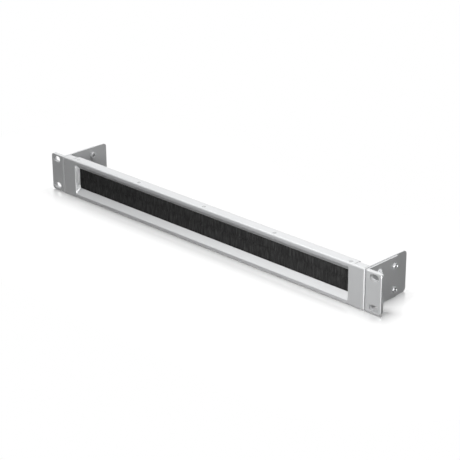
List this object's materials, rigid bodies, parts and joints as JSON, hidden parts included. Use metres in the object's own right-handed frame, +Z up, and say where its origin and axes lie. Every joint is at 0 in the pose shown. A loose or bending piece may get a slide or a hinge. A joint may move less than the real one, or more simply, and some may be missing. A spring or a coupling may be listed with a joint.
{
  "type": "rack brush strip panel",
  "caption": "One-unit rack panel with a bevelled window closed by opposed black brush strips, slotted ears and rear side wings for passing cables.",
  "frame": {"origin": "centre of the rack slot pattern, on the back face of the ears where the panel meets the rack's rails", "axes": "+X to the right seen from the front, +Y towards the back of the rack, +Z up"},
  "size_m": [0.4826, 0.063, 0.0436],
  "materials": {
    "silver_paint": "matte silver powder coat",
    "screw_steel": "zinc-plated",
    "nut_steel": "zinc-plated",
    "carrier_aluminium": "mill finish",
    "rivet_paint": "matte silver powder coat",
    "channel_steel": "galvanised",
    "wire_steel": "plain",
    "black_nylon": "black crimped filaments"
  },
  "bodies": {
    "root": {"front_panel": "silver_paint", "left_ear_bracket": "silver_paint", "right_ear_bracket": "silver_paint", "left_bracket_screws": "screw_steel", "right_bracket_screws": "screw_steel", "left_clinch_nuts": "nut_steel", "right_clinch_nuts": "nut_steel", "upper_brush_carrier": "carrier_aluminium", "lower_brush_carrier": "carrier_aluminium", "upper_rivets": "rivet_paint", "lower_rivets": "rivet_paint", "upper_strip_channel": "channel_steel", "lower_strip_channel": "channel_steel", "upper_core_wire": "wire_steel", "lower_core_wire": "wire_steel", "upper_filaments": "black_nylon", "lower_filaments": "black_nylon"}
  },
  "joints": []
}
